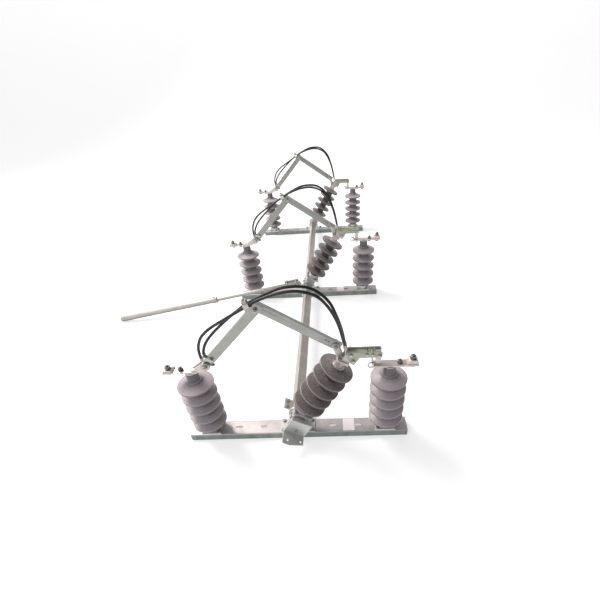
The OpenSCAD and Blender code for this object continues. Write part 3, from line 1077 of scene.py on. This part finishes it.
def insulator(name, kind, place):
    """A whole post insulator at a place in the row frame."""

    def rings(bm):
        for profile in post_ends(kind):
            lathe(bm, profile, TURNED_SIDES)

    pattern = make("shed_bay", lambda bm: lathe(bm, shed_bay(kind), TURNED_SIDES))
    points = [v.co for v in pattern.data.vertices]
    inner, outer = core_radius(kind) * MM, sizes().shed_radius
    edge = outer - RIM_DEPTH * MM
    low, high = RIM_BAND[0] * MM, RIM_BAND[1] * MM
    # Marks the band on each rim that the material paints as a highlight
    mark(pattern.data, "rim", [float(p.xy.length > edge and low < p.z < high) for p in points])
    depth = [(outer - p.xy.length) / (outer - inner) for p in points]
    # Painted shade, stronger towards the core
    shade_share = [min(max(SHADE_SLOPE * share - SHADE_START, 0.0), 1.0) for share in depth]
    mark(pattern.data, "notch", shade_share)
    piece = make(name, rings)
    # Painted shade all over the neck and foot
    mark(piece.data, "notch", [CORE_SHADE] * len(piece.data.vertices))
    values = {
        "Bay": pattern,
        "Sheds": sizes().shed_count,
        "Gap": sizes().shed_gap,
        "First": FIRST_SHED[kind] * MM,
        "Finish": finish("sheds" if kind == "fixed" else "rocker_sheds"),
    }
    apply_tree(piece, tree_named("shed_stack"), values)
    bpy.data.objects.remove(pattern)
    bm = bmesh.new()
    bm.from_mesh(piece.data)
    bmesh.ops.transform(bm, matrix=place, verts=bm.verts)
    bmesh.ops.recalc_face_normals(bm, faces=bm.faces)
    bm.to_mesh(piece.data)
    bm.free()
    return sharpen(piece.data) and piece


class SWITCH_OT_insulators(bpy.types.Operator):
    """Makes the fixed and the rocking post insulators with their sheds"""

    bl_idname = "switch.insulators"
    bl_label = "Insulators"

    def execute(self, context):
        for phase, phase_y in PHASES.items():
            for side, word in zip(SIDES, ("left", "right")):
                stand = Matrix.Translation((side * POST_X * MM, phase_y, 0))
                post = insulator(f"post_{word}_{phase}", "fixed", stand)
                dress(post, "sheds", "base", "post_polymer", f"insulator_{word}_{phase}")
            post = insulator(f"rocking_post_{phase}", "rocking", tilted(phase_y))
            dress(post, "rocker_sheds", "rocker", "rocker_polymer", f"rocker_insulator_{phase}")
            low, top = FERRULE
            profile = [(0, low), (25, low), (25.5, low + 1), (25.5, top - 1.5), (24, top), (0, top)]
            ring = make(f"ferrule_{phase}", lambda bm: lathe(bm, profile, 56, tilted(phase_y)))
            sharpen(ring.data)
            dress(ring, "cap", "rocker", "cast_cap", f"rocker_insulator_{phase}")
        return {"FINISHED"}


class SWITCH_OT_channels(bpy.types.Operator):
    """Makes the pressed base channels with their round bends and slots"""

    bl_idname = "switch.channels"
    bl_label = "Base channels"

    def execute(self, context):
        low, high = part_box("channel_middle")
        half_width, wall = high.y / MM, 4
        bend = sizes().channel_bend / MM
        centre = half_width - bend
        outside = arc((-centre, -bend), bend, 180, 90, 6) + arc((centre, -bend), bend, 90, 0, 6)
        inside = arc((centre, -bend), bend - wall, 0, 90, 4) + arc((-centre, -bend), bend - wall, 90, 180, 4)
        floor = low.z / MM
        outline = [(-half_width, floor), *outside, (half_width, floor)]
        outline += [(half_width - wall, floor), *inside, (wall - half_width, floor)]
        for phase, phase_y in PHASES.items():
            along = Matrix(((0, 0, 1, 0), (1, 0, 0, phase_y), (0, 1, 0, 0), (0, 0, 0, 1)))
            ends = low.x / MM, high.x / MM
            piece = make(f"channel_pressed_{phase}", lambda bm: prism(bm, outline[::-1], *ends, along))

            def slots(bm):
                for x in SLOT_PAIRS:
                    for side in SIDES:
                        spot = Matrix.Translation((side * x * MM, phase_y, 0))
                        prism(bm, rounded(30, 14, 6.99), -10, 5, spot)

            cutter = make("slots", slots)
            cut = piece.modifiers.new("slots", "BOOLEAN")
            cut.object = cutter
            cut.solver = "EXACT"
            settle(piece)
            bpy.data.objects.remove(cutter)
            bevelled(piece, 0.0006)
            dress(piece, "channel", "base", "galvanised_channel", f"channel_{phase}")
        return {"FINISHED"}


class SWITCH_OT_labels(bpy.types.Operator):
    """Lays a blank label plate on the webs of the front and the middle channel"""

    bl_idname = "switch.labels"
    bl_label = "Label plates"

    def execute(self, context):
        for phase in ("front", "middle"):
            spot = Matrix.Translation((LABEL_X * MM, PHASES[phase], 0))

            def plate(bm):
                prism(bm, rounded(*LABEL_SIZE, 2.5), -0.2, 1.0, spot)

            piece = make(f"label_plate_{phase}", plate, smooth=False)
            dress(piece, "plate", "base", "galvanised_channel")
        return {"FINISHED"}


def slab(bm, outline, y0, y1, place=Matrix()):
    """An outline in X and Z, in mm, as a plate from y0 to y1."""
    upright = Matrix(((1, 0, 0, 0), (0, 0, -1, 0), (0, 1, 0, 0), (0, 0, 0, 1)))
    prism(bm, outline, -y1, -y0, place @ upright)


def strap(a, b, radius_a, radius_b):
    """Outline of a strap with round ends from a to b."""
    heading = math.degrees(math.atan2(b[1] - a[1], b[0] - a[0]))
    far_end = arc(b, radius_b, heading - 90, heading + 90, 10)
    return far_end + arc(a, radius_a, heading + 90, heading + 270, 10)


class SWITCH_OT_saddles(bpy.types.Operator):
    """Makes the cast saddles at the ends of the terminal bars, and the ring on the right-hand ones"""

    bl_idname = "switch.saddles"
    bl_label = "Terminal saddles"

    def execute(self, context):
        outline = [(-22, 0), (21, 0), (21, 0.4), (14, 0.95), (11, 1), (-11, 1), (-14, 0.95), (-22, 0.4)]

        def saddles(bm):
            for phase_y in PHASES.values():
                for side in SIDES:
                    spot = Matrix.Translation((side * BAR_HOLES[1] * MM, phase_y, BAR_TOP * MM))
                    flipped = [(side * x, z * SADDLE_TOP[side]) for x, z in outline][::side]
                    slab(bm, flipped, -16, 16, spot)

        dress(make("terminal_saddles", saddles, 0.002, 3), "cap", "base", "plated_terminal")
        for phase, phase_y in PHASES.items():
            x, y, z = RING_CENTRE
            centre = Vector((x * MM, phase_y + y * MM, z * MM))
            circle = [(math.cos(a), math.sin(a)) for a in (2 * math.pi * k / 40 for k in range(40))]
            points = [centre + Vector((x, 0.25 * x, z)) * RING_R * MM for x, z in circle]
            ring = swept(f"ring_{phase}", points, RING_WIRE_R * MM, "bolts", 12, closed=True)
            dress(ring, "bolts", "base", "plated_terminal")
        return {"FINISHED"}


def lug(bm, end, direction, y, underside_shade, above):
    """A crimped barrel on a jumper's end, in mm: so far below the end, and so far up along the jumper."""
    place = facing((end[0], y, end[1]), (direction[0], 0, direction[1]))
    full, crimped = sizes().jumper / MM / 2 + 1.9, sizes().jumper / MM / 2 + 1.3
    reach = above + underside_shade
    profile = [(0, 0), (full - 2.5, 0), (full, 3), (full, reach * 0.4), (crimped, reach * 0.46)]
    profile += [(crimped, reach * 0.64), (full, reach * 0.7), (full, reach - 1)]
    profile += [(full - 0.8, reach), (0, reach)]
    lathe(bm, [(radius, height - underside_shade) for radius, height in profile], 24, place)


def at_clamp():
    """Where the jumpers' clamp sits in the left arm's frame: X along the jumpers."""
    return Matrix.Translation(Vector(CLAMP_SPOT) * MM) @ Matrix.Rotation(CLAMP_SLOPE, 4, "Y")


class SWITCH_OT_lugs(bpy.types.Operator):
    """Makes the crimped lugs on the jumpers' ends and the clamp that holds the jumpers at the elbow"""

    bl_idname = "switch.lugs"
    bl_label = "Jumper lugs and clamps"

    def execute(self, context):
        for phase, phase_y in PHASES.items():
            frame_left = along_left_arm(phase_y)

            def left_lugs(bm):
                for side, route in zip(SIDES, ROUTES_LEFT):
                    up = Vector(route[1]) - Vector(route[0])
                    lug(bm, route[0], up, phase_y / MM + side * JUMPER_Y, 0, 17)
                    y = sorted((side * 8.2, side * 11.4))
                    slab(bm, strap((21, 25), LUG_BOLT, 6, 9.5), *y, frame_left)

            def right_lugs(bm):
                for side, route in zip(SIDES, ROUTES_RIGHT):
                    y = phase_y / MM + side * JUMPER_Y
                    lug(bm, route[-1], Vector(route[-2]) - Vector(route[-1]), y, 5, 19)
                    slab(bm, PALM, y - 7.2, y + 7.2)

            def clamp(bm):
                outline = [(-19, -5.6), (19, -5.6), (19, -2)]
                outline += arc((9, 0), 8, 10, 105, 7) + arc((-9, 0), 8, 75, 170, 7)
                across = Matrix(((0, 0, 1, 0), (1, 0, 0, 0), (0, 1, 0, 0), (0, 0, 0, 1)))
                prism(bm, [*outline, (-19, -2)], -11, 11, frame_left @ at_clamp() @ across)

            arm = f"arm_left_{phase}"
            for build, body, word in ((left_lugs, arm, "left"), (right_lugs, "rocker", "right")):
                piece = make(f"lugs_{word}_{phase}", build, 0.0006)
                dress(piece, "bolts", body, "plated_terminal")
            dress(make(f"jumper_clamp_{phase}", clamp, 0.0012), "cap", arm, "cast_cap")
        return {"FINISHED"}


class SWITCH_OT_arm_ends(bpy.types.Operator):
    """Closes the open ends of the arms' tubes"""

    bl_idname = "switch.arm_ends"
    bl_label = "Arm ends"

    def execute(self, context):
        inside = ARM_DEPTH / 2 - TUBE_WALL
        lengths = {"left": math.dist(ELBOW, ARM_FOOT), "right": math.dist(ARM_HEAD, ELBOW)}
        ends = {"left": [lengths["left"] + 19], "right": [-11.5, lengths["right"] + 17]}
        sides = (("left", -5.6, 5.6, along_left_arm), ("right", 12.4, 23.6, along_right_arm))
        for phase, phase_y in PHASES.items():
            for arm, y0, y1, place_of in sides:

                def plugs(bm):
                    for x in ends[arm]:
                        outline = [(x, -inside), (x + 2.5, -inside), (x + 2.5, inside), (x, inside)]
                        slab(bm, outline, y0, y1, place_of(phase_y))

                piece = make(f"plugs_{arm}_{phase}", plugs, 0.0006)
                dress(piece, "arm", f"arm_{arm}_{phase}", "alloy_arm")
        return {"FINISHED"}


class SWITCH_OT_ubolts(bpy.types.Operator):
    """Bends the two U-bolts that hold the lever in its bracket"""

    bl_idname = "switch.ubolts"
    bl_label = "U-bolts"

    def execute(self, context):
        wire = sizes().ubolt_wire / 2
        reach = LEVER_ROD_R + wire / MM
        for word, x in (("inner", 32), ("outer", -32)):
            bend = [(x, y, z) for y, z in arc((0, 0), reach, -90, 90, 16)]
            points = [(x, -34, -reach), *bend, (x, -34, reach)]
            path = [along_lever() @ (Vector(p) * MM) for p in points]
            dress(swept(f"ubolt_{word}", path, wire, "bolts", 14), "bolts", "rocker", "galvanised_fittings")
        return {"FINISHED"}


class SWITCH_OT_fasteners(bpy.types.Operator):
    """Stamps the bolts, nuts, washers and rivets, in one piece for each body and finish"""

    bl_idname = "switch.fasteners"
    bl_label = "Bolts and nuts"

    def execute(self, context):
        kinds = fastener_kinds()
        base, studs, rocker = [], [], []
        for phase, y in PHASES.items():
            base += shifted(base_spots(), y)
            studs += shifted(terminal_spots(), y)
            rocker += moved(tilted(y), rocker_spots()) + shifted(head_spots(), y)
            left = shifted(arm_left_spots(), y)
            left += moved(along_left_arm(y), clamp_spots())
            arm, zinc = f"arm_left_{phase}", "galvanised_fittings"
            fasten(f"fasteners_{arm}", left, kinds, "bolts", arm, zinc)
            under = moved(along_left_arm(y), [(NUT, (18, 0, -14), DOWN, 0.75, 0)])
            fasten(f"stub_nut_{phase}", under, kinds, "nuts", arm, zinc)
            rivets = shifted([(RIVET, p, TO_FRONT, 1.0, 0) for p in rivet_points()], y)
            arm = f"arm_right_{phase}"
            fasten(f"rivets_{arm}", rivets, kinds, "nuts", arm, "alloy_arm")
        rocker += moved(tilted(PHASES["front"]), plate_spots())
        rocker += moved(along_lever(), lever_spots())
        rocker += moved(tilted(0), bracket_spots())
        fasten("fasteners_base", base, kinds, "bolts", "base", "galvanised_fittings")
        fasten("terminal_studs", studs, kinds, "nuts", "base", "plated_terminal")
        fasten("fasteners_rocker", rocker, kinds, "bolts", "rocker", "galvanised_fittings")
        drop(kinds)
        return {"FINISHED"}


def clamp_spots():
    """Bolts of the jumpers' clamp and lugs, in the left arm's frame."""
    spots = moved(at_clamp(), [(NUT, (0, 0, 5), UP, 1.15, 20)])
    return spots + [(HEAD, (LUG_BOLT[0], side * 11.4, 0), (0, side, 0), 0.75, 15) for side in SIDES]


def rivet_points():
    """Two rivets near the right arm's lower end, on its front face."""
    rise = Vector(ELBOW) - Vector(ARM_HEAD)
    rise.normalize()
    across = Vector((-rise.y, rise.x))
    spots = [Vector(ARM_HEAD) + rise * a + across * b for a, b in ((34, -5), (47, -6))]
    return [(p.x, 10, p.y) for p in spots]


def plate_spots():
    """Bolts of the lug behind the front phase and of the plate on the shaft's end, in the tilted frame."""
    lug_bolts = [(HEAD, (-46.5, y, -16.5), UP, 0.8, y) for y in (66, 98)]
    return [*lug_bolts, (HEAD, (1, -66, -1), TO_FRONT, 0.6, 20)]


def lever_spots():
    """Nuts of the U-bolts and the collar's screw, in the lever's frame."""
    reach = LEVER_ROD_R + sizes().ubolt_wire / MM / 2
    nuts = [(NUT, (x, -19, side * reach), TO_FRONT, 0.6, 10 * x) for x in (-32, 32) for side in SIDES]
    return [*nuts, (HEAD, (LEVER_JOINT + 9, 0, 20.6), UP, 0.6, 10)]


def bracket_spots():
    """Set screws of the lever's bracket, in the middle phase's tilted frame."""
    corners = [(x, y) for x in (-12, 14) for y in (-17, 17)]
    return [(HEAD, (x, LEVER_NEAR.y + y, 30), UP, 0.7, y) for x, y in corners]


def soften(node, width):
    """Welds a CAD node's loose triangles and rounds its edges, with live modifiers."""
    piece = frame["nodes"][node]
    weld = piece.modifiers.new("join_faces", "WELD")
    weld.merge_threshold = 1e-5
    edge = piece.modifiers.new("soft_edges", "BEVEL")
    edge.width = width
    edge.segments = 2
    edge.limit_method = "ANGLE"
    edge.angle_limit = math.radians(40)
    edge.harden_normals = False


class SWITCH_OT_finishes(bpy.types.Operator):
    """Gives the CAD pieces that stay their finishes and soft edges"""

    bl_idname = "switch.finishes"
    bl_label = "Finishes"

    def execute(self, context):
        per_phase = {
            "terminal_left": "terminal",
            "terminal_right": "terminal",
            "bearing": "fittings",
            "rocker_foot": "casting",
            "rocker_head": "cap",
            "contact_blades": "blades",
            "arm_left": "arm",
            "arm_right": "arm",
        }
        single = {
            "post_feet": "fittings",
            "shaft": "shaft",
            "shaft_plates": "fittings",
            "lever_bracket": "fittings",
            "lever_rod": "lever",
            "lever_pipe": "lever",
        }
        names = {f"{node}_{phase}": look for node, look in per_phase.items() for phase in PHASES}
        for node, look in (names | single).items():
            data = frame["nodes"][node].data
            data.materials.clear()
            data.materials.append(finish(look))
            soften(node, sizes().edge)
        return {"FINISHED"}


def area_light(name, spot, target, width, height, power, colour):
    """A soft rectangular light that faces a target."""
    data = bpy.data.lights.new(name, "AREA")
    data.shape = "RECTANGLE"
    data.size = width
    data.size_y = height
    data.energy = power
    data.color = srgb(colour)[:3]
    light = bpy.data.objects.new(name, data)
    bpy.context.scene.collection.objects.link(light)
    turn = (Vector(spot) - Vector(target)).to_track_quat("Z", "Y").to_matrix().to_4x4()
    light.matrix_world = Matrix.Translation(spot) @ turn


class SWITCH_OT_stage(bpy.types.Operator):
    """Sets up the pale floor, its rising back and the soft lights"""

    bl_idname = "switch.stage"
    bl_label = "Stage"

    def execute(self, context):
        ground = CAD_BOX[0].z - 0.0005
        rise = [(-7, 0), (5, 0)] + [(5 + y, 3 + z) for y, z in arc((0, 0), 3, -90, 0, 12)] + [(8, 7)]
        mesh = bpy.data.meshes.new("studio_floor")
        corners = [(x, y, z + ground) for y, z in rise for x in (-9, 9)]
        faces = [(2 * i, 2 * i + 1, 2 * i + 3, 2 * i + 2) for i in range(len(rise) - 1)]
        mesh.from_pydata(corners, [], faces)
        mesh.polygons.foreach_set("use_smooth", [True] * len(faces))
        mesh.materials.append(finish("floor"))
        new_object("studio_floor", mesh)
        world = bpy.data.worlds.new("soft_white_room")
        world.use_nodes = True
        tree = world.node_tree
        sky = tree.nodes["Background"]
        sky.inputs["Color"].default_value = srgb("#f6f6f8")
        # Brighter towards the windows on the left
        aim = add_node(tree, "ShaderNodeTexCoord").outputs["Generated"]
        across = add_node(tree, "ShaderNodeSeparateXYZ", {"Vector": aim}).outputs[0]
        tree.links.new(levels(tree, across, -1.0, 1.0, 0.85, 0.04), sky.inputs["Strength"])
        context.scene.world = world
        area_light("key_left_back", (-3.2, 1.3, 4.2), (0, -0.4, 0.2), 2.6, 2.6, 270, "#fff8f2")
        area_light("fill_front", (-2.5, -4.5, 3.0), (0, -0.5, 0.2), 3.0, 2.0, 40, "#f2f5ff")
        context.scene.view_settings.view_transform = "Standard"
        return {"FINISHED"}


class SWITCH_PT_panel(bpy.types.Panel):
    """Lists the steps that make the switch"""

    bl_idname = "SWITCH_PT_panel"
    bl_label = "Disconnect switch"
    bl_space_type = "VIEW_3D"
    bl_region_type = "UI"
    bl_category = "Switch"

    def draw(self, context):
        for step in STEPS:
            self.layout.operator(step.bl_idname)
        for group in (sizes(), colours()):
            for name in group.__annotations__:
                self.layout.prop(group, name)


STEPS = (
    SWITCH_OT_camera,
    SWITCH_OT_jumpers,
    SWITCH_OT_insulators,
    SWITCH_OT_channels,
    SWITCH_OT_labels,
    SWITCH_OT_saddles,
    SWITCH_OT_lugs,
    SWITCH_OT_arm_ends,
    SWITCH_OT_ubolts,
    SWITCH_OT_fasteners,
    SWITCH_OT_finishes,
    SWITCH_OT_stage,
)
CLASSES = (SwitchSizes, SwitchColours, *STEPS, SWITCH_PT_panel)


def register():
    """Adds the classes and the scene's settings."""
    for item in CLASSES:
        bpy.utils.register_class(item)
    bpy.types.Scene.switch_sizes = PointerProperty(type=SwitchSizes)
    bpy.types.Scene.switch_colours = PointerProperty(type=SwitchColours)


def unregister():
    """Takes them away again."""
    del bpy.types.Scene.switch_colours
    del bpy.types.Scene.switch_sizes
    for item in reversed(CLASSES):
        bpy.utils.unregister_class(item)


def main():
    """Makes every piece in order."""
    register()
    for step in STEPS:
        area, name = step.bl_idname.split(".")
        getattr(getattr(bpy.ops, area), name)()


if __name__ == "__main__":
    main()
